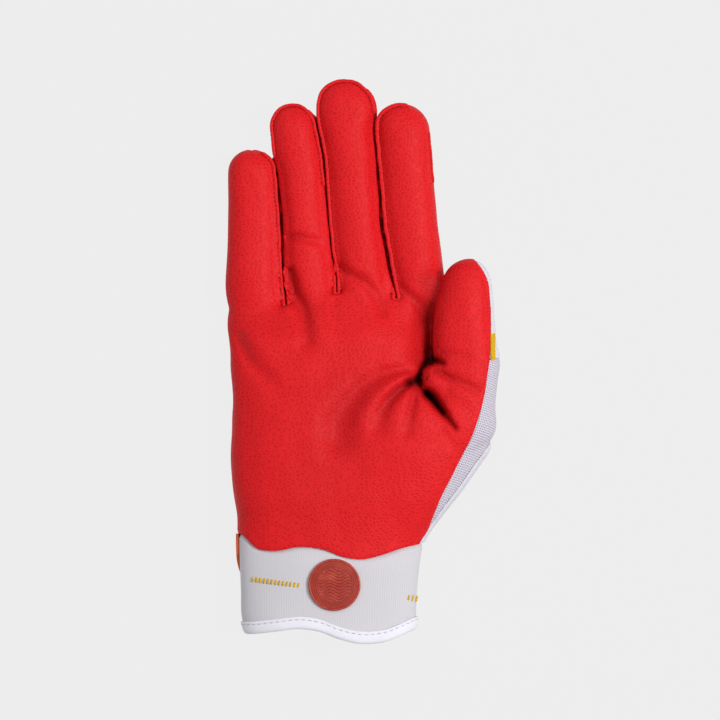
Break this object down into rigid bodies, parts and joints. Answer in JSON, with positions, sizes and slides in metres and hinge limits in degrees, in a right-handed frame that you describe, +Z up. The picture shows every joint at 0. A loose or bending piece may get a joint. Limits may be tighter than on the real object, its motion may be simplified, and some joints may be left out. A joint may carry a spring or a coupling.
{
  "type": "batting glove",
  "caption": "Right-hand batting glove lying palm up: pebbled leather palm and fingers, mesh thumb gusset, knitted cuff with bound hem, moulded badge and wrist strap.",
  "frame": {"origin": "under the middle of the glove's box, on the surface it lies on", "axes": "+Y from the wrist to the fingertips, +X to the thumb side, +Z up out of the palm"},
  "size_m": [0.1138, 0.235, 0.0309],
  "materials": {
    "palm_leather": "red tumbled sheepskin with a fine pebble grain, satin",
    "back_leather": "white synthetic leather, smooth, satin",
    "gusset_mesh": "white air mesh, matt",
    "cuff_knit": "pale grey knitted facing over foam, matt",
    "binding_tape": "white folded binding tape, matt",
    "badge_rubber": "brick red moulded rubber, soft gloss",
    "strap_cloth": "orange closing strap, matt"
  },
  "bodies": {
    "root": {"palm_leather": "palm_leather", "fourchette_little_ring": "palm_leather", "fourchette_ring_middle": "palm_leather", "fourchette_middle_index": "palm_leather", "back_panel": "back_leather", "thumb_back": "back_leather", "thumb_gusset": "gusset_mesh", "cuff": "cuff_knit", "hem_binding": "binding_tape", "cuff_badge": "badge_rubber", "wrist_strap": "strap_cloth"}
  },
  "joints": []
}
